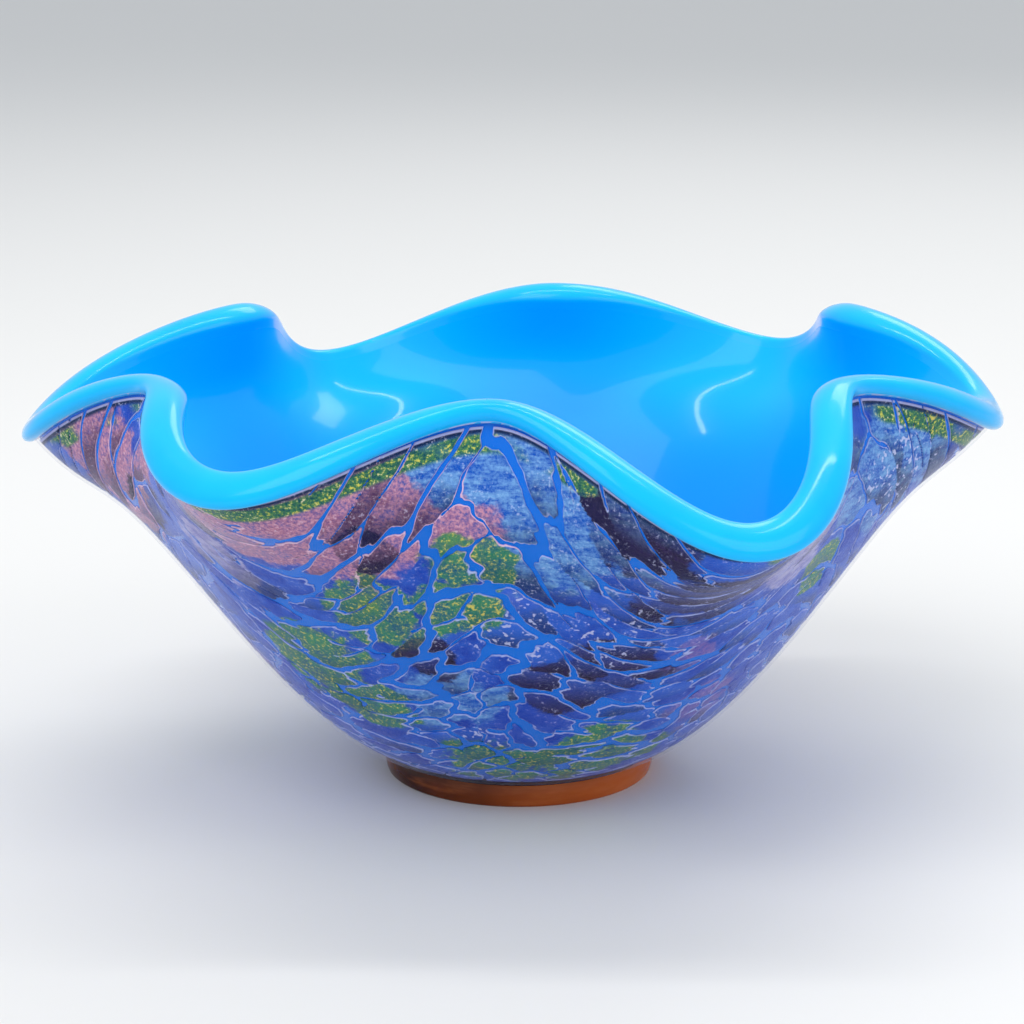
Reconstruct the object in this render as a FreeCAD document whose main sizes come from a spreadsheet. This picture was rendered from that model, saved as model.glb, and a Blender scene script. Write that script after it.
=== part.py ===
import FreeCAD, Part
import math
import os
import Sketcher

# Ruffled art glass bowl, in millimetres, +Z up. The origin is on the table, under the middle
# of the foot. Five bodies of glass: an opaque lining, a thin leaf, a clear casing over it, a
# bead round the rim and a foot.

os.makedirs("parts", exist_ok=True)
document = FreeCAD.newDocument("ruffled_bowl")


# ---------------------------------------------------------------- driving dimensions

# The rim was pulled by hand into six crests and six lobes, so each has its own place.
# Each row is: direction from above in degrees, radius and height of the wall's end.
CRESTS = (
    (25, 122, 135),
    (84, 120, 132),
    (143, 119, 132),
    (209, 121, 132),
    (266, 117, 136),
    (323, 117, 134),
)
LOBES = (
    (52, 148, 113),
    (118, 147, 106),
    (180, 149, 110),
    (236, 146, 117),
    (295, 149, 106),
    (354, 143, 117),
)

SIZES = {
    "floor_radius": 32,
    "floor_height": 8.9,
    "base_radius": 79,
    "belly_radius": 118,
    "belly_height": 121,
    "rim_reach": 42,
    "crest_lean": 106,
    "lobe_lean": 49,
    "fold_fullness": 2,
    "casing_thickness": 1,
    "leaf_thickness": 0.5,
    "lining_thickness": 5.5,
    "rim_thickening": 2.3,
    "lip_half_width": 6,
    "lip_half_height": 3.6,
    "foot_radius": 42.5,
    "foot_height": 7,
    "foot_side_radius": 9,
    "foot_top_radius": 30,
    "foot_bevel": 0.5,
}


def make_sheet():
    """Writes every driving dimension into a spreadsheet, one named cell each."""
    spreadsheet = document.addObject("Spreadsheet::Sheet", "sizes")
    values = dict(SIZES)
    for kind, places in (("crest", CRESTS), ("lobe", LOBES)):
        for number, (direction, radius, height) in enumerate(places, start=1):
            values[f"{kind}_{number}_direction"] = direction
            values[f"{kind}_{number}_radius"] = radius
            values[f"{kind}_{number}_height"] = height
    for row, (name, value) in enumerate(values.items(), start=1):
        spreadsheet.set(f"A{row}", name)
        spreadsheet.set(f"B{row}", str(value))
        spreadsheet.setAlias(f"B{row}", name)
    document.recompute()
    return spreadsheet


sheet = make_sheet()


# ---------------------------------------------------------------- shape of the wall

# Going once round the bowl is a turn from 0 to 1; going up the wall is a rise from 0 to 1.
# Each face is cut into one panel between every crest and the lobe beside it.
RIM_PLACES = 2 * len(CRESTS)
POINTS_PER_PANEL = 4
TURN_POINTS = POINTS_PER_PANEL * RIM_PLACES
RISE_POINTS = 11
SMALL_STEP = 1e-4

# The lining thickens inwards toward the rim, so that its inside meets the bead flush.
THICKENING_STEEPNESS = 10

wall_half = (sheet.casing_thickness + sheet.leaf_thickness + sheet.lining_thickness) / 2
leaf_outside = wall_half - sheet.casing_thickness
leaf_inside = leaf_outside - sheet.leaf_thickness


def rim_places(measure):
    """Sheet values of one measure for every crest and lobe, in order round the rim."""
    places = []
    for number in range(1, len(CRESTS) + 1):
        places.append(float(getattr(sheet, f"crest_{number}_{measure}")))
        places.append(float(getattr(sheet, f"lobe_{number}_{measure}")))
    return places


rim_radii = rim_places("radius")
rim_heights = rim_places("height")
rim_leans = [sheet.crest_lean, sheet.lobe_lean] * len(CRESTS)
rim_shifts = [
    direction - 360 * place / RIM_PLACES
    for place, direction in enumerate(rim_places("direction"))
]


def eased(places, turn):
    """Value at a turn, levelling out at each crest and lobe like a wave."""
    position = turn * RIM_PLACES
    place = math.floor(position)
    share = (1 - math.cos(math.pi * (position - place))) / 2
    start = places[place % RIM_PLACES]
    end = places[(place + 1) % RIM_PLACES]
    return start + (end - start) * share


def wall_middle(turn, rise):
    """Middle of the wall: a Bezier curve from the flat floor up to the ruffled rim."""
    direction = math.radians(360 * turn + eased(rim_shifts, turn))
    fullness = sheet.fold_fullness * math.sin(math.pi * RIM_PLACES * turn) ** 2
    rim_radius = eased(rim_radii, turn) + fullness
    rim_height = eased(rim_heights, turn) + fullness
    lean = math.radians(eased(rim_leans, turn))
    reach_radius = rim_radius - sheet.rim_reach * math.cos(lean)
    reach_height = rim_height - sheet.rim_reach * math.sin(lean)
    guides = (
        (sheet.floor_radius, sheet.floor_height),
        (sheet.base_radius, sheet.floor_height),
        (sheet.belly_radius, sheet.belly_height),
        (reach_radius, reach_height),
        (rim_radius, rim_height),
    )
    last = len(guides) - 1
    radius = 0
    height = 0
    for number, (guide_radius, guide_height) in enumerate(guides):
        share = math.comb(last, number) * rise ** number * (1 - rise) ** (last - number)
        radius += share * guide_radius
        height += share * guide_height
    return FreeCAD.Vector(radius * math.cos(direction), radius * math.sin(direction), height)


def wall_directions(turn, rise):
    """Unit vectors at a place on the wall: square out through it, and up along it."""
    ahead = wall_middle(turn + SMALL_STEP, rise)
    behind = wall_middle(turn - SMALL_STEP, rise)
    above = wall_middle(turn, rise + SMALL_STEP)
    below = wall_middle(turn, rise - SMALL_STEP)
    around = ahead - behind
    out = around.cross(above - below).normalize()
    along = out.cross(around).normalize()
    return out, along


def wall_ring(rise, offset):
    """Ring of points round the wall at one rise, moved square out of it by the offset."""
    ring = []
    for number in range(TURN_POINTS):
        turn = number / TURN_POINTS
        out, _ = wall_directions(turn, rise)
        ring.append(wall_middle(turn, rise) + out * offset)
    return ring


# ---------------------------------------------------------------- curves, faces and solids

def closed_curve(ring):
    """Smooth closed curve through a ring of points."""
    curve = Part.BSplineCurve()
    curve.interpolate(
        Points=ring,
        PeriodicFlag=True,
        Parameters=list(range(len(ring) + 1)),
    )
    return curve


def panel_ends():
    """First and last curve mark of every panel, in order round the rim."""
    return [(mark, mark + POINTS_PER_PANEL) for mark in range(0, TURN_POINTS, POINTS_PER_PANEL)]


def closed_faces(rings):
    """Smooth surface through a stack of rings, cut into its panels."""
    across_marks = [number / (len(rings) - 1) for number in range(len(rings))]
    ring_curves = [closed_curve(ring) for ring in rings]
    poles = []
    for number in range(1, ring_curves[0].NbPoles + 1):
        across = Part.BSplineCurve()
        across.interpolate(
            Points=[curve.getPole(number) for curve in ring_curves],
            Parameters=across_marks,
        )
        poles.append(across.getPoles())
    surface = Part.BSplineSurface()
    surface.buildFromPolesMultsKnots(
        poles,
        ring_curves[0].getMultiplicities(),
        across.getMultiplicities(),
        ring_curves[0].getKnots(),
        across.getKnots(),
        True,
        False,
        ring_curves[0].Degree,
        across.Degree,
    )
    surface.setUNotPeriodic()
    faces = []
    for start, end in panel_ends():
        panel = surface.copy()
        panel.segment(start, end, across_marks[0], across_marks[-1])
        faces.append(panel.toShape())
    return faces


def wall_faces(offset, thickening):
    """The wall from floor to rim, moved out of the wall's middle by the offset.

    The thickening moves it in again by that much at the rim, and hardly at all lower down."""
    rises = [number / (RISE_POINTS - 1) for number in range(RISE_POINTS)]
    return closed_faces([
        wall_ring(rise, offset - thickening * rise ** THICKENING_STEEPNESS) for rise in rises
    ])


def floor_face(offset):
    """Flat round floor that closes the wall of the same offset."""
    curve = closed_curve(wall_ring(0, offset))
    edges = [curve.toShape(start, end) for start, end in panel_ends()]
    return Part.Face(Part.Wire(edges))


def rim_end_faces(outer_offset, inner_offset):
    """Narrow strip across the top end of the wall, between two offsets."""
    return closed_faces([wall_ring(1, outer_offset), wall_ring(1, inner_offset)])


def joined_solid(faces):
    """Sews faces into one solid with its faces outwards."""
    shell = Part.makeShell(faces)
    shell.sewShape()
    solid = Part.makeSolid(shell)
    if solid.Volume < 0:
        solid.reverse()
    return solid


def add_solid(name, solid):
    """Puts a formula-made solid into the document under its node name."""
    piece = document.addObject("Part::Feature", name)
    piece.Label = name
    piece.Shape = solid
    piece.Placement = FreeCAD.Placement()
    return piece


def glass_layer(name, outer_offset, inner_offset, thickening=0):
    """One layer of the wall, closed by its two floors and the strip at the rim."""
    faces = wall_faces(outer_offset, 0) + wall_faces(inner_offset, thickening)
    faces += rim_end_faces(outer_offset, inner_offset - thickening)
    faces += [floor_face(outer_offset), floor_face(inner_offset)]
    return add_solid(name, joined_solid(faces))


# ---------------------------------------------------------------- layers of the wall

clear_casing = glass_layer("clear_casing", wall_half, leaf_outside)
crackle_leaf = glass_layer("crackle_leaf", leaf_outside, leaf_inside)
blue_lining = glass_layer("blue_lining", leaf_inside, -wall_half, sheet.rim_thickening)


# ---------------------------------------------------------------- bead round the rim

LIP_POINTS = 13


def lip_rings():
    """Rings round the bead: an oval from the wall's outer edge over the top to its inner side,
    then straight down to the thickened wall, so that the inside runs on without a groove."""
    width = sheet.lip_half_width
    height = sheet.lip_half_height
    base_angle = math.acos(wall_half / width)
    base_drop = height * math.sin(base_angle)
    sweep = math.pi + base_angle
    rings = [[] for _ in range(LIP_POINTS)]
    for number in range(TURN_POINTS):
        turn = number / TURN_POINTS
        out, along = wall_directions(turn, 1)
        centre = wall_middle(turn, 1) + along * base_drop
        for step, ring in enumerate(rings):
            angle = sweep * step / (LIP_POINTS - 1) - base_angle
            offset = out * (width * math.cos(angle)) + along * (height * math.sin(angle))
            ring.append(centre + offset)
    rings.append(wall_ring(1, lip_inside))
    return rings


lip_inside = -wall_half - sheet.rim_thickening
lip_faces = closed_faces(lip_rings()) + rim_end_faces(wall_half, lip_inside)
lip_wrap = add_solid("lip_wrap", joined_solid(lip_faces))


# ---------------------------------------------------------------- foot

def foot_outline(body):
    """Half outline of the foot; its top is flat, then curves up along the wall above it."""
    plane = next(item for item in body.Origin.OriginFeatures if item.Role == "XZ_Plane")
    sketch = body.newObject("Sketcher::SketchObject", "foot_outline")
    sketch.AttachmentSupport = [(plane, "")]
    sketch.MapMode = "FlatFace"

    def arc_drop(radius, chord):
        """How far an arc of this radius stands out from the middle of its chord."""
        return radius - math.sqrt(radius ** 2 - (chord / 2) ** 2)

    top_height = sheet.floor_height - wall_half
    side_chord = sheet.foot_height - sheet.foot_bevel
    rise_width = sheet.foot_radius - sheet.floor_radius
    rise_height = sheet.foot_height - top_height
    rise_chord = math.hypot(rise_width, rise_height)
    rise_drop = arc_drop(sheet.foot_top_radius, rise_chord)

    axis_low = FreeCAD.Vector(0, 0, 0)
    under_edge = FreeCAD.Vector(sheet.foot_radius - sheet.foot_bevel, 0, 0)
    side_low = FreeCAD.Vector(sheet.foot_radius, sheet.foot_bevel, 0)
    side_top = FreeCAD.Vector(sheet.foot_radius, sheet.foot_height, 0)
    side_out = (side_low + side_top) / 2
    side_out.x += arc_drop(sheet.foot_side_radius, side_chord)
    rise_low = FreeCAD.Vector(sheet.floor_radius, top_height, 0)
    rise_out = (side_top + rise_low) / 2
    rise_out += FreeCAD.Vector(rise_height, -rise_width, 0) * (rise_drop / rise_chord)
    axis_top = FreeCAD.Vector(0, top_height, 0)

    underside = sketch.addGeometry(Part.LineSegment(axis_low, under_edge))
    bevel = sketch.addGeometry(Part.LineSegment(under_edge, side_low))
    side = sketch.addGeometry(Part.Arc(side_low, side_out, side_top))
    curved_top = sketch.addGeometry(Part.Arc(rise_low, rise_out, side_top))
    flat_top = sketch.addGeometry(Part.LineSegment(rise_low, axis_top))
    axis = sketch.addGeometry(Part.LineSegment(axis_top, axis_low))

    for rule in (
        ("Coincident", underside, 2, bevel, 1),
        ("Coincident", bevel, 2, side, 1),
        ("Coincident", side, 2, curved_top, 2),
        ("Coincident", curved_top, 1, flat_top, 1),
        ("Coincident", flat_top, 2, axis, 1),
        ("Coincident", axis, 2, underside, 1),
        ("Coincident", underside, 1, -1, 1),
        ("Horizontal", underside),
        ("Horizontal", flat_top),
        ("Vertical", axis),
        ("Vertical", side, 1, side, 2),
    ):
        sketch.addConstraint(Sketcher.Constraint(*rule))

    half_wall = "(sizes.casing_thickness + sizes.leaf_thickness + sizes.lining_thickness) / 2"
    for name, rule, value, source in (
        ("bevel_width", ("DistanceX", bevel, 1, bevel, 2), sheet.foot_bevel, "sizes.foot_bevel"),
        ("bevel_height", ("DistanceY", bevel, 1, bevel, 2), sheet.foot_bevel, "sizes.foot_bevel"),
        ("edge_radius", ("DistanceX", axis, 2, side, 2), sheet.foot_radius, "sizes.foot_radius"),
        ("edge_height", ("DistanceY", axis, 2, side, 2), sheet.foot_height, "sizes.foot_height"),
        ("side_curve", ("Radius", side), sheet.foot_side_radius, "sizes.foot_side_radius"),
        ("top_curve", ("Radius", curved_top), sheet.foot_top_radius, "sizes.foot_top_radius"),
        ("flat_width", ("DistanceX", flat_top, 2, flat_top, 1), sheet.floor_radius,
         "sizes.floor_radius"),
        ("flat_height", ("DistanceY", axis, 2, axis, 1), top_height,
         f"sizes.floor_height - {half_wall}"),
    ):
        number = sketch.addConstraint(Sketcher.Constraint(*rule, value))
        sketch.renameConstraint(number, name)
        sketch.setExpression(f"Constraints.{name}", source)
    return sketch


foot = document.addObject("PartDesign::Body", "foot")
foot.Label = "foot"
foot_sketch = foot_outline(foot)
document.recompute()
foot_turning = foot.newObject("PartDesign::Revolution", "foot_turning")
foot_turning.Profile = (foot_sketch, [""])
foot_turning.ReferenceAxis = (foot_sketch, ["V_Axis"])
foot_turning.Angle = 360
foot.Tip = foot_turning
document.recompute()


# ---------------------------------------------------------------- checks and files

nodes = (blue_lining, crackle_leaf, clear_casing, lip_wrap, foot)

for item in document.Objects:
    if "Invalid" in item.State or "Error" in item.State:
        raise RuntimeError(f"{item.Label} did not rebuild: {item.State}")

for node in nodes:
    shape = node.Shape
    if shape.isNull() or not shape.isValid() or len(shape.Solids) != 1:
        raise RuntimeError(f"{node.Label} is not one sound solid")
    shape.exportStep(os.path.join("parts", f"{node.Label}.step"))
    box = shape.optimalBoundingBox()
    print(
        f"{node.Label}: {shape.Volume / 1000:.1f} cm3, "
        f"x {box.XMin:.1f} to {box.XMax:.1f}, y {box.YMin:.1f} to {box.YMax:.1f}, "
        f"z {box.ZMin:.1f} to {box.ZMax:.1f}"
    )
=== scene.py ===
import math

import bmesh
import bpy
import mathutils
import numpy as np
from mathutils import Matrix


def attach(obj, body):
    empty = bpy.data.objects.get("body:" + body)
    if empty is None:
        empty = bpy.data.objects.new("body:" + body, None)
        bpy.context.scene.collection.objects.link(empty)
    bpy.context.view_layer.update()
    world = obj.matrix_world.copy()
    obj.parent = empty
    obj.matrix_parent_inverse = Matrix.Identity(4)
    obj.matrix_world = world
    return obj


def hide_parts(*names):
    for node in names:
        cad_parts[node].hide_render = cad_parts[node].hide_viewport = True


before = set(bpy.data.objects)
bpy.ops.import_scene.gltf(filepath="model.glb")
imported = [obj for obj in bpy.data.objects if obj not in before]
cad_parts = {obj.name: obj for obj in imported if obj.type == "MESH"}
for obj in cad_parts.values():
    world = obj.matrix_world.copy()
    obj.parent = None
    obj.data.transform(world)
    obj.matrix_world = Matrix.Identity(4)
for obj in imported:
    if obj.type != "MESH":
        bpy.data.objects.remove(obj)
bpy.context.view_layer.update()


# ---------------------------------------------------------------- blue lining
# The lining is the inner body of the bowl: opaque blue glass, blown and then ruffled hot.
# Its inside is the bright bowl one looks into; its outside shows through the cracks.

MM = 0.001

# Each crest and lobe of the ruffle: direction in degrees, radius and height in millimetres.
CRESTS = (
    (25, 122, 135),
    (84, 120, 132),
    (143, 119, 132),
    (209, 121, 132),
    (266, 117, 136),
    (323, 117, 134),
)
LOBES = (
    (52, 148, 113),
    (118, 147, 106),
    (180, 149, 110),
    (236, 146, 117),
    (295, 149, 106),
    (354, 143, 117),
)
RIM_PLACES = [place for pair in zip(CRESTS, LOBES) for place in pair]
RIM_RADII = [radius for _, radius, _ in RIM_PLACES]
RIM_HEIGHTS = [height for _, _, height in RIM_PLACES]
RIM_SHIFTS = [place[0] - 360 * n / len(RIM_PLACES) for n, place in enumerate(RIM_PLACES)]
CREST_LEAN = 106
LOBE_LEAN = 49
RIM_LEANS = [CREST_LEAN, LOBE_LEAN] * len(CRESTS)
FOLD_FULLNESS = 2

# The points that guide the curve from the floor up to the rim, as radius and height.
FLOOR = (32, 8.9)
BASE = (79, 8.9)
BELLY = (118, 121)
RIM_REACH = 42

# The faces of the lining, measured square out from the middle of the wall.
INSIDE = -3.5
LEAF_UNDER = 2.0
RIM_THICKENING = 2.3
THICKENING_STEEPNESS = 10

WALL_COLUMNS = 288
FLOOR_ROWS = 6
LINING_ROWS = 72
SHARP_ANGLE = math.radians(50)
JOIN_REACH = 1e-5


def eased(values, turn):
    """Values round the rim that level out at every crest and lobe, like a wave."""
    values = np.asarray(values, dtype=float)
    position = turn * len(values)
    place = np.floor(position).astype(int)
    share = (1 - np.cos(np.pi * (position - place))) / 2
    start = values[place % len(values)]
    end = values[(place + 1) % len(values)]
    return start + (end - start) * share


def wall_middle(turn, rise):
    """Middle of the wall; rise is -1 to 0 across the floor and 0 to 1 up to the rim."""
    direction = np.radians(360 * turn + eased(RIM_SHIFTS, turn))
    fullness = FOLD_FULLNESS * np.sin(np.pi * len(RIM_PLACES) * turn) ** 2
    rim_radius = eased(RIM_RADII, turn) + fullness
    rim_height = eased(RIM_HEIGHTS, turn) + fullness
    lean = np.radians(eased(RIM_LEANS, turn))
    reach = (rim_radius - RIM_REACH * np.cos(lean), rim_height - RIM_REACH * np.sin(lean))
    guides = (FLOOR, BASE, BELLY, reach, (rim_radius, rim_height))
    up = np.maximum(rise, 0)
    last = len(guides) - 1
    radius = 0
    height = 0
    for number, (guide_radius, guide_height) in enumerate(guides):
        share = math.comb(last, number) * up ** number * (1 - up) ** (last - number)
        radius = radius + share * guide_radius
        height = height + share * guide_height
    radius = radius + FLOOR[0] * np.minimum(rise, 0)
    return np.stack([radius * np.cos(direction), radius * np.sin(direction), height], axis=-1)


def unit(vectors):
    """Vectors scaled to a length of one."""
    return vectors / np.linalg.norm(vectors, axis=-1, keepdims=True)


def wall_directions(turn, rise):
    """Unit vectors square out through the wall and up along it."""
    step = 1e-4
    up = np.maximum(rise, 0)
    around = wall_middle(turn + step, up) - wall_middle(turn - step, up)
    climb = wall_middle(turn, up + step) - wall_middle(turn, np.maximum(up - step, 0))
    out = unit(np.cross(around, climb))
    along = unit(np.cross(out, around))
    return out, along


def wall_point(turn, rise, offset):
    """Places on the wall in metres, moved square out of its middle by an offset."""
    out, _ = wall_directions(turn, rise)
    return (wall_middle(turn, rise) + out * np.asarray(offset)[..., None]) * MM


def there_and_back(inner, outer, floor_rows, wall_rows):
    """Rises and offsets from the floor's middle up one side of the wall and down the other."""
    up = np.concatenate([
        np.linspace(-1, 0, floor_rows, endpoint=False),
        np.linspace(0, 1, wall_rows),
    ])
    rises = np.concatenate([up, up[::-1]])
    offsets = np.concatenate([np.full(len(up), float(inner)), np.full(len(up), float(outer))])
    return rises, offsets


def grid_mesh(name, columns, rows, place, marks):
    """Glass closed round the bowl from a grid; place gives points for its columns and rows.

    Marks are values stored on each point, by name, worked out from its column and row."""
    bm = bmesh.new()
    bmesh.ops.create_grid(bm, x_segments=columns, y_segments=rows, size=1)
    turn = (np.array([vert.co.x for vert in bm.verts]) + 1) / 2
    row = np.rint((np.array([vert.co.y for vert in bm.verts]) + 1) / 2 * rows).astype(int)
    for mark, value in marks.items():
        layer = bm.verts.layers.float.new(mark)
        for vert, stored in zip(bm.verts, value(turn, row)):
            vert[layer] = stored
    for vert, point in zip(bm.verts, place(turn, row)):
        vert.co = point
    bmesh.ops.remove_doubles(bm, verts=bm.verts, dist=JOIN_REACH)
    bmesh.ops.recalc_face_normals(bm, faces=bm.faces)
    for edge in bm.edges:
        edge.smooth = edge.calc_face_angle(0) < SHARP_ANGLE
    return as_object(name, bm)


def as_object(name, bm):
    """Turns a finished bmesh into a smooth object in the scene, standing at the origin."""
    for face in bm.faces:
        face.smooth = True
    mesh = bpy.data.meshes.new(name)
    bm.to_mesh(mesh)
    bm.free()
    piece = bpy.data.objects.new(name, mesh)
    bpy.context.scene.collection.objects.link(piece)
    return piece


class Wire:
    """A socket of a material's nodes; sums on it add the nodes that work them out."""

    def __init__(self, tree, socket):
        self.tree = tree
        self.socket = socket

    def node(self, kind, sockets, settings=None, output=0):
        """Adds a node: its settings first, then the value or wire of each socket."""
        node = self.tree.nodes.new(kind)
        for setting, value in (settings or {}).items():
            setattr(node, setting, value)
        for key, value in sockets.items():
            if isinstance(value, Wire):
                self.tree.links.new(value.socket, node.inputs[key])
            else:
                node.inputs[key].default_value = value
        return Wire(self.tree, node.outputs[output])

    def maths(self, operation, *values):
        """Adds a Math node on this wire and other values."""
        return self.node("ShaderNodeMath", dict(enumerate(values)), {"operation": operation})

    def __add__(self, other):
        return self.maths("ADD", self, other)

    def __radd__(self, other):
        return self.maths("ADD", other, self)

    def __sub__(self, other):
        return self.maths("SUBTRACT", self, other)

    def __rsub__(self, other):
        return self.maths("SUBTRACT", other, self)

    def __mul__(self, other):
        return self.maths("MULTIPLY", self, other)

    def __rmul__(self, other):
        return self.maths("MULTIPLY", other, self)

    def __truediv__(self, other):
        return self.maths("DIVIDE", self, other)

    def attribute(self, name):
        """The values stored on the piece's points under a name."""
        return self.node("ShaderNodeAttribute", {}, {"attribute_name": name}, output=2)

    def ramp(self, low, high):
        """0 below low, 1 above high and a smooth rise between."""
        return self.node(
            "ShaderNodeMapRange",
            {"Value": self, "From Min": low, "From Max": high},
            {"interpolation_type": "SMOOTHSTEP"},
        )

    def mix(self, start, end):
        """Colour between start and end, with this wire as the share of end."""
        return self.node(
            "ShaderNodeMix",
            {"Factor": self, 6: start, 7: end},
            {"data_type": "RGBA"},
            output=2,
        )

    def noise(self, size, detail=2, roughness=0.5, stretch=(1, 1, 1)):
        """Cloudy noise at these coordinates; size is the width of its clouds in metres."""
        scaled = self.node(
            "ShaderNodeVectorMath", {0: self, 1: [part / size for part in stretch]},
            {"operation": "MULTIPLY"},
        )
        return self.node(
            "ShaderNodeTexNoise",
            {"Vector": scaled, "Scale": 1, "Detail": detail, "Roughness": roughness},
        )


def colour(red, green, blue):
    """Linear colour, with full alpha, from the 0 to 255 values it is seen at."""
    seen = [part / 255 for part in (red, green, blue)]
    return [part / 12.92 if part <= 0.04045 else ((part + 0.055) / 1.055) ** 2.4
            for part in seen] + [1]


def new_glass(name, coat, coat_roughness=0.05):
    """A glossy glass material; returns it, its object coordinates and its shader's sockets."""
    material = bpy.data.materials.new(name)
    material.use_nodes = True
    tree = material.node_tree
    shader = tree.nodes["Principled BSDF"].inputs
    shader["Specular IOR Level"].default_value = 0.1
    shader["Coat Weight"].default_value = coat
    shader["Coat Roughness"].default_value = coat_roughness
    shader["Coat IOR"].default_value = 1.5
    where = tree.nodes.new("ShaderNodeTexCoord").outputs["Object"]
    return material, Wire(tree, where), shader


def feed(wire, socket):
    """Joins a wire to one of the shader's sockets."""
    wire.tree.links.new(wire.socket, socket)


lining_rises, lining_offsets = there_and_back(INSIDE, LEAF_UNDER, FLOOR_ROWS, LINING_ROWS)
on_inside = lining_offsets < 0
rim_growth = np.maximum(lining_rises, 0) ** THICKENING_STEEPNESS
lining_offsets -= on_inside * RIM_THICKENING * rim_growth
lining = grid_mesh(
    "blue_lining_wall",
    columns=WALL_COLUMNS,
    rows=len(lining_rises) - 1,
    place=lambda turn, row: wall_point(turn, lining_rises[row], lining_offsets[row]),
    marks={
        "outside": lambda turn, row: (lining_offsets[row] > 0).astype(float),
        "rise": lambda turn, row: lining_rises[row],
    },
)
lining_glass, at, shader = new_glass("blue_opal_glass", coat=0.22)
outside = at.attribute("outside")
cloud = at.noise(0.05, detail=3)
swirl = at.noise(0.012, detail=4, roughness=0.6)
rise = at.attribute("rise")
# Lighter toward the rim: partly painted light from above, partly a blend into the lip's turquoise
# glass; the clouds are the glass's own.
inside_colour_and_painted_light = (rise.ramp(0.36, 0.93) * 0.85 + cloud * 0.25 - 0.1).mix(
    colour(0, 148, 248), colour(0, 190, 255)
)
ground_colour = (cloud * 0.7 + swirl * 0.3).mix(colour(0, 98, 206), colour(0, 122, 232))
feed(outside.mix(inside_colour_and_painted_light, ground_colour), shader["Base Color"])
feed(cloud * 0.1 + 0.2, shader["Roughness"])
lining.data.materials.append(lining_glass)
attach(lining, "root")
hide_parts("blue_lining")


# ---------------------------------------------------------------- crackled leaf
# A thin sheet of coloured glass powder and leaf, rolled on hot. When the bowl was blown out
# it broke into flakes; wide cracks part the groups and fine cracks run on into them.

random = np.random.default_rng(7)
LEAF_OVER = 2.5
LEAF_LOW_RISE = 0.052
LEAF_HIGH_RISE = 0.995

# The leaf is meshed in pieces side by side, each a little wider than its share of the turn.
FLAKE_PIECES = 6
PIECE_MARGIN = 0.04
LEAF_COLUMNS = 300
LEAF_ROWS = 215

# How much the leaf is stretched while its flakes are laid out: upright, and at the lobes.
UPRIGHT_STRETCH = 1.35
LOBE_STRETCH = 0.9
LOBE_WIDENING = 0.05

# Least spacing of groups and flakes, at the bottom of the leaf and at the rim.
GROUP_SPACING = (23, 48)
FLAKE_SPACING = (9.2, 21)

# Cracks bend slowly by the wander and quickly by the wobble; all widths are half widths.
WANDER_LENGTH = 48
WANDER_REACH = 4
WOBBLE_LENGTH = 10
WOBBLE_REACH = 1.1
WIDE_CRACK = 1.85
WIDE_CHANGE = 0.6
WIDE_LEAST = 0.9
FINE_CRACK = 0.8
FINE_CHANGE = 2.2
FINE_LEAST = -0.9
FINE_MOST = 1.2
RIM_NARROWING = 0.35
PIECE_CRACK = 0.4
SHOULDER_DROP = 0.22
SHOULDER_WIDTH = 0.9
FLAKE_HALF_HEIGHT = 6


def waves(points, length, seed, count=7):
    """Smooth wandering values of about -1 to 1 that change over the given length."""
    chosen = np.random.default_rng(seed)
    total = np.zeros(points.shape[:-1])
    for _ in range(count):
        heading = unit(chosen.normal(size=3))
        pace = 2 * np.pi / (length * chosen.uniform(0.7, 1.6))
        total += np.sin(points @ heading * pace + chosen.uniform(0, 2 * np.pi))
    return total / math.sqrt(count)


leaf_rises = np.linspace(LEAF_LOW_RISE, LEAF_HIGH_RISE, 400)
round_turns = np.linspace(0, 1, 24, endpoint=False)
mean_wall = wall_middle(round_turns[:, None], leaf_rises[None, :])
leaf_radii = np.hypot(mean_wall[..., 0], mean_wall[..., 1]).mean(axis=0)
mean_heights = mean_wall[..., 2].mean(axis=0)
leaf_steps = np.hypot(np.diff(leaf_radii), np.diff(mean_heights))
leaf_lengths = np.concatenate([[0], np.cumsum(leaf_steps)])
leaf_length = leaf_lengths[-1]


def leaf_rise(share):
    """Rise of the wall at a share of the leaf's length, from its bottom edge to the rim."""
    return np.interp(share * leaf_length, leaf_lengths, leaf_rises)


def sheet_place(turn, share):
    """Place on the leaf before it was ruffled, in millimetres, with its height stretched."""
    length = share * leaf_length
    radius = np.interp(length, leaf_lengths, leaf_radii)
    ruffle = 2 * np.pi * len(CRESTS) * turn
    angle = 2 * np.pi * turn + LOBE_WIDENING * np.sin(ruffle)
    lobe = (1 - np.cos(ruffle)) / 2
    level = length * (UPRIGHT_STRETCH + LOBE_STRETCH * lobe * share)
    return np.stack([radius * np.cos(angle), radius * np.sin(angle), level], axis=-1)


def scatter(low_spacing, high_spacing, tries):
    """Turns and shares spread over the leaf, never closer than the spacing at their height."""
    chosen = []
    kept = np.empty((0, 3))
    for _ in range(tries):
        turn, share, luck = random.uniform(size=3)
        place = sheet_place(turn, share)
        if luck * leaf_radii[-1] > math.hypot(place[0], place[1]):
            continue
        spacing = low_spacing + (high_spacing - low_spacing) * share ** 2
        if len(kept) == 0 or np.linalg.norm(kept - place, axis=1).min() > spacing:
            kept = np.vstack([kept, place])
            chosen.append((turn, share))
    return np.array(chosen), kept


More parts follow.
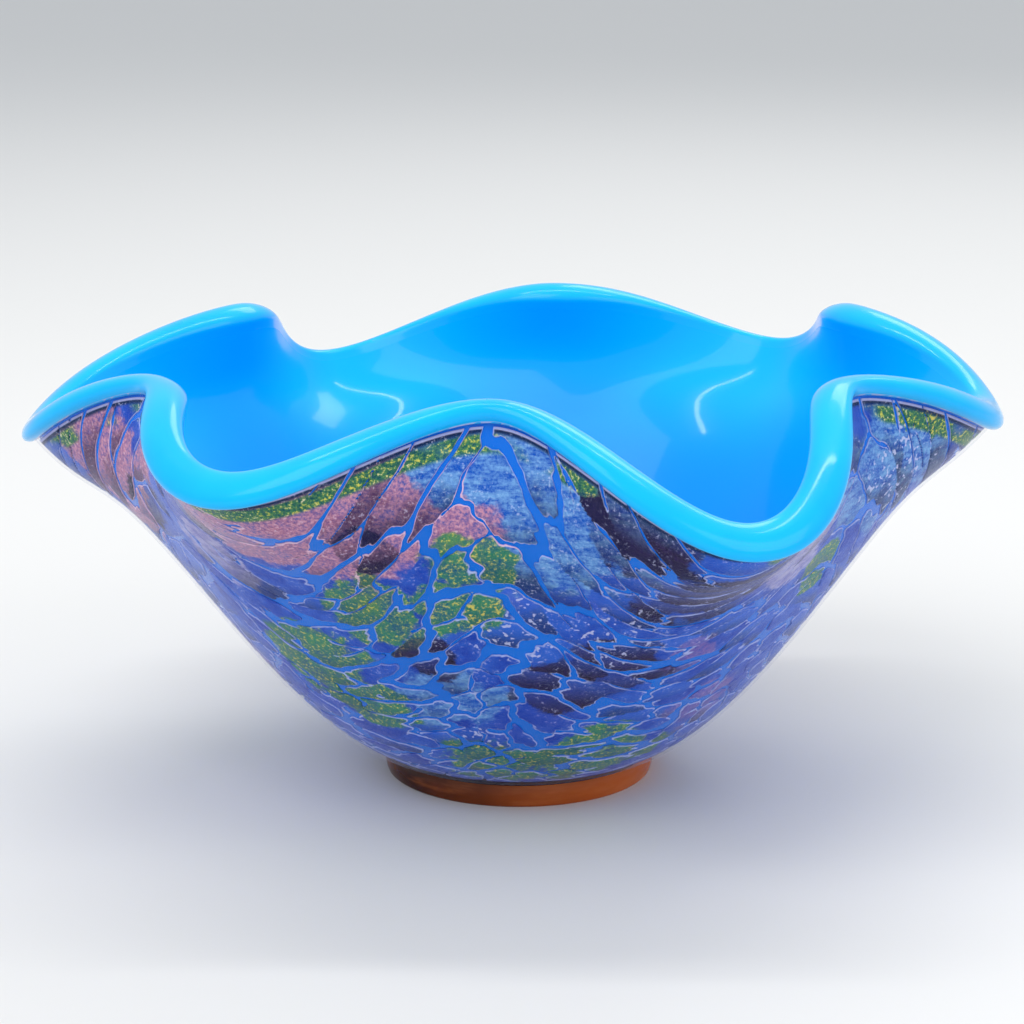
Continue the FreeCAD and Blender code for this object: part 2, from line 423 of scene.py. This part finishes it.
_, group_middles = scatter(*GROUP_SPACING, tries=7000)
flake_turns, flake_middles = scatter(*FLAKE_SPACING, tries=24000)
flake_groups = np.linalg.norm(
    flake_middles[:, None, :] - group_middles[None, :, :], axis=2
).argmin(axis=1)
flake_pieces = (flake_turns[:, 0] * FLAKE_PIECES).astype(int)
flake_gaps = np.linalg.norm(flake_middles[:, None, :] - flake_middles[None, :, :], axis=2)
flake_gaps[flake_gaps == 0] = np.inf
apart = flake_groups[:, None] != flake_groups[None, :]
split = flake_pieces[:, None] != flake_pieces[None, :]
flake_tones = random.uniform(size=len(flake_middles))


def leaf_field(turn, share, near):
    """How far inside a flake each place is, in millimetres, below zero in a crack.

    It also gives the number of the flake the place is nearest to, out of those near."""
    flat = sheet_place(turn, share)
    wander = np.stack([waves(flat, WANDER_LENGTH, seed) for seed in (11, 12, 13)], axis=-1)
    wobble = np.stack([waves(flat, WOBBLE_LENGTH, seed) for seed in (21, 22, 23)], axis=-1)
    bent = flat + wander * WANDER_REACH + wobble * WOBBLE_REACH
    wide = np.maximum(WIDE_CRACK + WIDE_CHANGE * waves(flat, 40, 31), WIDE_LEAST)
    fine = FINE_CRACK + FINE_CHANGE * waves(flat, 18, 32)
    fine = np.clip(fine, FINE_LEAST, FINE_MOST - RIM_NARROWING * share)
    ragged = 0.24 * waves(flat, 4.2, 33) + 0.15 * waves(flat, 2.1, 34)
    middles = flake_middles[near]
    gaps = flake_gaps[np.ix_(near, near)]
    groups_apart = apart[np.ix_(near, near)]
    pieces_apart = split[np.ix_(near, near)]
    inside = np.empty(len(flat))
    owner = np.empty(len(flat), dtype=int)
    block_size = 4000
    for first in range(0, len(flat), block_size):
        block = slice(first, first + block_size)
        squares = ((bent[block, None, :] - middles[None, :, :]) ** 2).sum(axis=2)
        nearest = squares.argmin(axis=1)
        own = squares[np.arange(len(nearest)), nearest]
        lines = (squares - own[:, None]) / (2 * gaps[nearest])
        lines[np.isinf(gaps[nearest])] = np.inf
        thin = fine[block, None]
        thin = np.where(pieces_apart[nearest], np.maximum(thin, PIECE_CRACK), thin)
        widths = np.where(groups_apart[nearest], wide[block, None], thin)
        inside[block] = (lines - widths).min(axis=1)
        owner[block] = near[nearest]
    return inside + ragged, owner


def flake_piece(number):
    """One stretch of the leaf: a grid raised by its field, sliced level and laid on the wall."""
    bm = bmesh.new()
    bmesh.ops.create_grid(bm, x_segments=LEAF_COLUMNS, y_segments=LEAF_ROWS, size=1)
    grid = np.array([vert.co[:2] for vert in bm.verts])
    first = number / FLAKE_PIECES - PIECE_MARGIN
    span = 1 / FLAKE_PIECES + 2 * PIECE_MARGIN
    turn = first + span * (grid[:, 0] + 1) / 2
    share = (grid[:, 1] + 1) / 2
    middle_turn = (number + 0.5) / FLAKE_PIECES
    away = np.abs((flake_turns[:, 0] - middle_turn + 0.5) % 1 - 0.5)
    near = np.flatnonzero(away < span / 2 + PIECE_MARGIN)
    inside, owner = leaf_field(turn, share, near)
    inside[flake_pieces[owner] != number] = -1
    for vert, place in zip(bm.verts, zip(turn, share, inside)):
        vert.co = place
    bmesh.ops.bisect_plane(
        bm, geom=bm.verts[:] + bm.edges[:] + bm.faces[:], dist=1e-6,
        plane_co=(0, 0, 0), plane_no=(0, 0, 1), clear_inner=True,
    )
    turn, share, edge = np.array([vert.co for vert in bm.verts]).T
    _, owner = leaf_field(turn, share, near)
    under = wall_point(turn, leaf_rise(share), LEAF_UNDER + 0 * turn)
    marks = {
        "turn": turn,
        "share": share,
        "edge": edge,
        "tone": flake_tones[owner],
        "climb": (share - flake_turns[owner, 1]) * leaf_length / FLAKE_HALF_HEIGHT,
    }
    for mark, values in marks.items():
        layer = bm.verts.layers.float.new(mark)
        for vert, value in zip(bm.verts, values):
            vert[layer] = value
    for vert, point in zip(bm.verts, under):
        vert.co = point
    raised = bmesh.ops.extrude_face_region(bm, geom=bm.faces[:], use_keep_orig=True)
    tops = [part for part in raised["geom"] if isinstance(part, bmesh.types.BMVert)]
    turn, share, edge = (
        np.array([vert[bm.verts.layers.float[mark]] for vert in tops])
        for mark in ("turn", "share", "edge")
    )
    drop = SHOULDER_DROP * np.clip(1 - edge / SHOULDER_WIDTH, 0, 1) ** 2
    for vert, point in zip(tops, wall_point(turn, leaf_rise(share), LEAF_OVER - drop)):
        vert.co = point
    bmesh.ops.recalc_face_normals(bm, faces=bm.faces)
    return as_object(f"flakes_{number + 1}", bm)


leaf_glass, at, shader = new_glass("crackled_leaf_glass", coat=0.12)
edge = at.attribute("edge")
tone = at.attribute("tone")
climb = at.attribute("climb")
share = at.attribute("share")
drift = at.noise(0.035, detail=3)
mottle = at.noise(0.007, detail=4, roughness=0.65).ramp(0.3, 0.7)
grain = at.noise(0.001, detail=3, roughness=0.7).ramp(0.34, 0.66)
streaks = at.noise(0.0022, detail=3, roughness=0.7, stretch=(0.3, 0.3, 1)).ramp(0.35, 0.65)
millimetre = at.node("ShaderNodeVectorMath", {0: at, "Scale": 1000}, {"operation": "SCALE"})


def patch(direction, height, reach):
    """Share of a colour in a ragged patch round a place on the outside of the bowl."""
    angle = math.radians(direction)
    radius = np.interp(height, mean_heights, leaf_radii)
    middle = (radius * math.cos(angle), radius * math.sin(angle), height)
    distance = millimetre.node(
        "ShaderNodeVectorMath", {0: millimetre, 1: middle}, {"operation": "DISTANCE"}, output=1
    )
    ragged = (drift - 0.5) * 1.1 + (tone - 0.5) * 0.5 + (mottle - 0.5) * 0.25
    return (1.1 - distance / reach + ragged).ramp(0, 0.16)


def patches(*places):
    """The strongest share of several patches of one colour."""
    total = patch(*places[0])
    for place in places[1:]:
        total = total.maths("MAXIMUM", total, patch(*place))
    return total


# A patch of colour is placed by its direction in degrees and its height and reach in millimetres.
base = (tone * 0.7 + mottle * 0.5 - 0.1).mix(colour(20, 62, 176), colour(54, 116, 226))
violet = drift.ramp(0.5, 0.62) * mottle
base = (violet * 0.4).mix(base, tone.mix(colour(58, 48, 160), colour(96, 88, 208)))
mauve = patches(
    (246, 112, 30), (257, 118, 22), (236, 108, 22), (264, 108, 15), (200, 108, 22),
    (60, 100, 40), (128, 104, 34),
)
olive = patches(
    (248, 80, 17), (259, 83, 13), (262, 96, 12), (231, 60, 18), (240, 44, 12), (290, 26, 18),
    (262, 22, 16), (336, 130, 10), (322, 84, 9), (90, 66, 34), (160, 60, 30), (20, 96, 30),
)
teal = patches(
    (276, 118, 28), (266, 128, 20), (330, 112, 26), (256, 50, 16), (106, 112, 30), (174, 96, 26),
)
dark = patches(
    (287, 112, 18), (296, 97, 21), (303, 99, 13), (286, 62, 15), (277, 54, 12),
    (255, 64, 10), (250, 100, 8), (206, 100, 12), (44, 108, 24), (150, 100, 24),
    (104, 50, 22),
)
blush = mottle.mix(colour(76, 88, 168), colour(150, 96, 140))
rosy = patches((311, 42, 12), (300, 64, 9), (40, 52, 16), (196, 50, 14))
body = (mauve + rosy * (1 - mauve) * 0.35).mix(
    base, (grain * 0.8).mix(blush, colour(226, 158, 172))
)
body = teal.mix(
    body, (streaks * 0.6 + grain * 0.4 - 0.1).mix(colour(8, 84, 190), colour(130, 184, 232))
)
moss = mottle.mix(colour(8, 76, 128), colour(40, 136, 88))
gold = grain.ramp(0.76, 0.99).mix(colour(92, 158, 74), colour(228, 218, 96))
body = (olive * 0.92).mix(body, (grain * 0.7).mix(moss, gold))
night = (grain * 0.5 + tone * 0.3 - 0.05).mix(colour(14, 8, 36), colour(70, 52, 108))
# Painted shade: the dark flakes are painted darker toward the bottom of each flake.
body = (dark * (0.85 - climb * 0.35)).mix(body, night)
pale = patches((223, 92, 15), (311, 93, 13), (160, 92, 13), (72, 92, 12))
milk = (streaks * 0.6 + 0.2).mix(colour(120, 112, 190), colour(206, 200, 226))
body = (pale * 0.75).mix(body, milk)
# Painted shade: each flake is painted darker toward its bottom, over a random tone and mottle per
# flake.
painted_shade_and_tone = ((0.5 - climb * 0.5) * 0.7 + (tone - 0.5) * 0.8 + (mottle - 0.5) * 0.3).ramp(0.3, 1.0)
body = (painted_shade_and_tone * (1 - olive * 0.5) * 0.75).mix(body, colour(12, 16, 66))
# Painted shade: a dark band just under the lip bead, where the bead meets the leaf.
painted_shade_under_lip = share.ramp(0.984, 0.992)
rim_gold = share.ramp(0.95, 0.96) * (1 - painted_shade_under_lip) * drift.ramp(0.46, 0.54) * (1 - dark)
body = rim_gold.mix(body, (grain * 0.9).mix(colour(14, 84, 92), gold))
body = painted_shade_under_lip.mix(body, colour(6, 40, 84))
# Painted reflection: a thin pale line at the top edge of the leaf, just under the bead.
body = (share.ramp(0.994, 0.997) * 0.9).mix(body, colour(196, 194, 238))
frost = patches(
    (268, 73, 13), (284, 74, 12), (331, 108, 16), (262, 34, 8), (30, 88, 24), (120, 78, 20),
    (180, 62, 20),
)
beads = at.noise(0.0018, detail=1).ramp(0.6, 0.66) * frost
speckle = beads.maths("MAXIMUM", beads, grain.ramp(0.84, 0.99) * mottle.ramp(0.3, 0.8) * 0.6)
body = (speckle * 0.75).mix(body, olive.mix(colour(206, 210, 244), colour(236, 214, 96)))
# Painted highlight: pale lines along the flakes' edges, as glassy edges catching the light.
painted_edge_glint = (1 - edge.ramp(0.15, 0.5)) * at.noise(0.012, detail=3).ramp(0.34, 0.54)
body = (painted_edge_glint * 0.9).mix(body, mauve.mix(colour(186, 196, 244), colour(244, 204, 226)))
feed(body, shader["Base Color"])
feed(grain * 0.3 + 0.3, shader["Roughness"])
relief = at.node("ShaderNodeBump", {"Height": grain, "Distance": 0.00025, "Strength": 0.6})
feed(relief, shader["Normal"])
for number in range(FLAKE_PIECES):
    flakes = flake_piece(number)
    flakes.data.materials.append(leaf_glass)
    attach(flakes, "root")
    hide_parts("crackle_leaf")


# ---------------------------------------------------------------- clear casing
# The last gather: a thin clear layer over the flakes and cracks, blown with them. It gives
# the wet gloss, and a painted sheen: a pale haze painted toward the outline.

OUTSIDE = 3.5
CASING_GAP = 0.12
CASING_INSIDE = LEAF_OVER + CASING_GAP
CASING_ROWS = 64

casing_rises, casing_offsets = there_and_back(CASING_INSIDE, OUTSIDE, FLOOR_ROWS, CASING_ROWS)
casing = grid_mesh(
    "clear_casing_wall",
    columns=WALL_COLUMNS,
    rows=len(casing_rises) - 1,
    place=lambda turn, row: wall_point(turn, casing_rises[row], casing_offsets[row]),
    marks={},
)
clear_glass, at, shader = new_glass("clear_glass", coat=0)
shader["Roughness"].default_value = 0.06
facing = at.node("ShaderNodeLayerWeight", {"Blend": 0.5}, output=1)
# Painted sheen: a pale lavender colour that shows more toward the outline, standing in for the
# glass's reflection of the pale room.
shader["Base Color"].default_value = colour(214, 216, 246)
painted_sheen = facing * facing * facing
feed(painted_sheen * painted_sheen * 0.32 + 0.003, shader["Alpha"])
waviness = at.noise(0.02, detail=2)
ripple = at.node("ShaderNodeBump", {"Height": waviness, "Distance": 0.0006, "Strength": 0.6})
feed(ripple, shader["Normal"])
casing.data.materials.append(clear_glass)
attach(casing, "root")
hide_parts("clear_casing")


# ---------------------------------------------------------------- lip wrap
# A cane of turquoise glass wound on hot round the ruffled rim and melted to a rounded bead.
# It sits over the end of the wall, and on the inside it runs straight down to the lining.

LIP_COLUMNS = 576
LIP_HALF_WIDTH = 6
LIP_HALF_HEIGHT = 3.6
LIP_OVAL_ROWS = 34
LIP_SIDE_ROWS = 4
LIP_ROWS = LIP_OVAL_ROWS + LIP_SIDE_ROWS + 1
LIP_UNEVENNESS = 0.3

lip_base_angle = math.acos(OUTSIDE / LIP_HALF_WIDTH)
lip_base_drop = LIP_HALF_HEIGHT * math.sin(lip_base_angle)
lip_marks = np.arange(LIP_ROWS + 1)
lip_angles = np.minimum(lip_marks / LIP_OVAL_ROWS, 1) * (math.pi + lip_base_angle)
lip_angles -= lip_base_angle
lip_widths = LIP_HALF_WIDTH * np.cos(lip_angles)
lip_climbs = lip_base_drop + LIP_HALF_HEIGHT * np.sin(lip_angles)
lip_down = np.clip((lip_marks - LIP_OVAL_ROWS) / LIP_SIDE_ROWS, 0, 1)
lip_widths += lip_down * (LIP_HALF_WIDTH + INSIDE - RIM_THICKENING)
lip_climbs *= 1 - lip_down
lip_widths[-1] = lip_widths[0]
lip_climbs[-1] = lip_climbs[0]


def lip_point(turn, row):
    """A place on the bead: an oval over the wall's end, run straight down on the inside."""
    end = wall_middle(turn, 1 + 0 * turn)
    out, along = wall_directions(turn, 1 + 0 * turn)
    swell = 1 + LIP_UNEVENNESS * waves(end, 70, 51)[:, None] / LIP_HALF_WIDTH
    climb = lip_climbs[row][:, None]
    return (end + out * lip_widths[row][:, None] + along * climb * swell) * MM


lip = grid_mesh(
    "lip_wrap_bead",
    columns=LIP_COLUMNS,
    rows=LIP_ROWS,
    place=lip_point,
    marks={"round_bead": lambda turn, row: row / LIP_ROWS},
)
lip_glass, at, shader = new_glass("turquoise_glass", coat=0.3, coat_roughness=0.08)
cloud = at.noise(0.03, detail=3)
round_bead = at.attribute("round_bead")
body = cloud.mix(colour(0, 168, 248), colour(0, 195, 255))
body = round_bead.ramp(0.72, 0.97).mix(body, colour(0, 182, 255))
# Painted reflection: a pale line where the bead meets the casing.
painted_joint_glint = 1 - round_bead.ramp(0.015, 0.045)
body = (painted_joint_glint * 0.8).mix(body, colour(206, 204, 240))
feed(body, shader["Base Color"])
edge_on = at.node("ShaderNodeLayerWeight", {"Blend": 0.5}, output=1)
edge_gloss = edge_on * edge_on * edge_on
feed(edge_gloss * edge_gloss * 0.7 + 0.3, shader["Coat Weight"])
feed(cloud * 0.1 + 0.24, shader["Roughness"])
lip.data.materials.append(lip_glass)
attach(lip, "root")
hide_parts("lip_wrap")


# ---------------------------------------------------------------- foot
# The short round foot: a gather of red-brown glass put on hot under the bowl, pressed flat
# and ground level. It takes its shape from the frame and only its glass is made here.

foot_glass, at, shader = new_glass("red_brown_glass", coat=0.18)
painted_light_side = at.node("ShaderNodeSeparateXYZ", {0: at}, output=0)
streak = at.noise(0.008, detail=4, roughness=0.6, stretch=(0.3, 0.3, 1.6))
cloud = at.noise(0.02, detail=3)
# Painted light and shade: the foot is dark on its left and lit orange-brown on its right; the
# clouds and streaks are the glass's own.
body = (painted_light_side.ramp(-0.045, 0.04) * 0.9 + cloud * 0.4 - 0.15).mix(
    colour(30, 8, 6), colour(190, 90, 34)
)
feed((streak.ramp(0.45, 0.75) * 0.5).mix(body, colour(196, 110, 60)), shader["Base Color"])
feed(cloud * 0.12 + 0.1, shader["Roughness"])
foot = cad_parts["foot"]
foot.data.materials.clear()
foot.data.materials.append(foot_glass)


# ---------------------------------------------------------------- floor, light and camera
# A pale floor in a pale room, under three broad soft boxes and one narrow strip. The strip
# draws the thin bright lines inside the bowl.

FLOOR_HALF_SIZE = 20
LAMP_AIM = (0, 0, 0.08)

scene = bpy.context.scene
scene.view_settings.view_transform = "Standard"

bm = bmesh.new()
bmesh.ops.create_grid(bm, x_segments=1, y_segments=1, size=FLOOR_HALF_SIZE)
floor = as_object("floor", bm)
floor_paint = bpy.data.materials.new("floor_paint")
floor_paint.use_nodes = True
floor_sockets = floor_paint.node_tree.nodes["Principled BSDF"].inputs
floor_sockets["Base Color"].default_value = colour(226, 224, 220)
floor_sockets["Roughness"].default_value = 0.7
floor.data.materials.append(floor_paint)

world = bpy.data.worlds.new("pale_room")
world.use_nodes = True
world.node_tree.nodes["Background"].inputs["Color"].default_value = colour(222, 228, 236)
world.node_tree.nodes["Background"].inputs["Strength"].default_value = 0.9
scene.world = world


def soft_box(name, place, aim, width, depth, power):
    """A soft square lamp at a place, turned to face another."""
    lamp = bpy.data.lights.new(name, "AREA")
    lamp.shape = "RECTANGLE"
    lamp.size = width
    lamp.size_y = depth
    lamp.energy = power
    holder = bpy.data.objects.new(name, lamp)
    holder.location = place
    toward = mathutils.Vector(aim) - mathutils.Vector(place)
    holder.rotation_euler = toward.to_track_quat("-Z", "Y").to_euler()
    scene.collection.objects.link(holder)


soft_box("key_box", (-1.1, -1.3, 1.9), LAMP_AIM, 1.8, 1.8, 26)
soft_box("fill_box", (1.6, -1.2, 1.2), LAMP_AIM, 1.4, 1.4, 10)
soft_box("strip_box", (0, 0.25, 1.5), LAMP_AIM, 1.6, 0.06, 6)
soft_box("back_box", (0.7, 1.6, 1.7), LAMP_AIM, 1.2, 0.7, 10)

CAMERA_AIM = (-0.0023, 0, 0.0837)
CAMERA_DISTANCE = 0.85
CAMERA_ELEVATION = math.radians(13.42)
CAMERA_LENS = 94.25
CAMERA_SENSOR = 36
camera_data = bpy.data.cameras.new("camera")
camera_data.lens = CAMERA_LENS
camera_data.sensor_width = CAMERA_SENSOR
camera = bpy.data.objects.new("camera", camera_data)
camera.location = (
    CAMERA_AIM[0],
    -CAMERA_DISTANCE * math.cos(CAMERA_ELEVATION),
    CAMERA_AIM[2] + CAMERA_DISTANCE * math.sin(CAMERA_ELEVATION),
)
camera.rotation_euler = (math.pi / 2 - CAMERA_ELEVATION, 0, 0)
scene.collection.objects.link(camera)
scene.camera = camera
